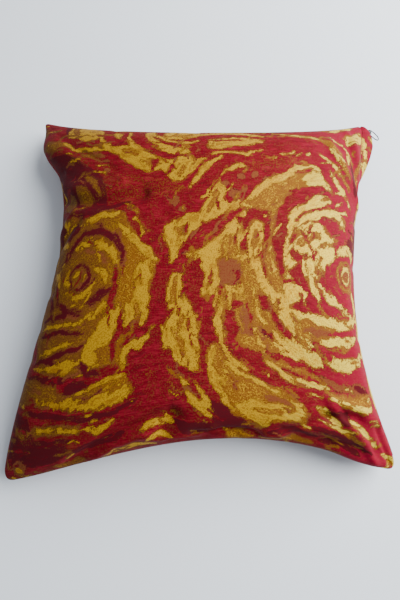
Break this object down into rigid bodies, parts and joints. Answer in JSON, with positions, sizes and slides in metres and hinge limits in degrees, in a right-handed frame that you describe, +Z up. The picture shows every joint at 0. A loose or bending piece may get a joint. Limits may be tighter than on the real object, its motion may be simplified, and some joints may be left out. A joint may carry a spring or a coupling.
{
  "type": "throw cushion",
  "caption": "Square filled throw cushion in a woven satin cover, with drawn-in sides, pointed ears and a lapped zip along a side seam.",
  "frame": {"origin": "middle of the flat patch on the underside that the cushion rests on", "axes": "+Z up through the crown, out of the front panel; +X towards the side with the zip; +Y towards the far side, the top edge of the front panel"},
  "size_m": [0.418, 0.4035, 0.1022],
  "materials": {
    "satin": "woven satin jacquard in crimson, gold and ochre",
    "tape": "dark woven zip tape",
    "slider": "dark plated metal",
    "wire": "thin bright wire"
  },
  "bodies": {
    "root": {"cushion": "satin", "zip_lap": "satin", "zip_tape": "tape", "zip_slider": "slider", "zip_pull": "wire"}
  },
  "joints": []
}
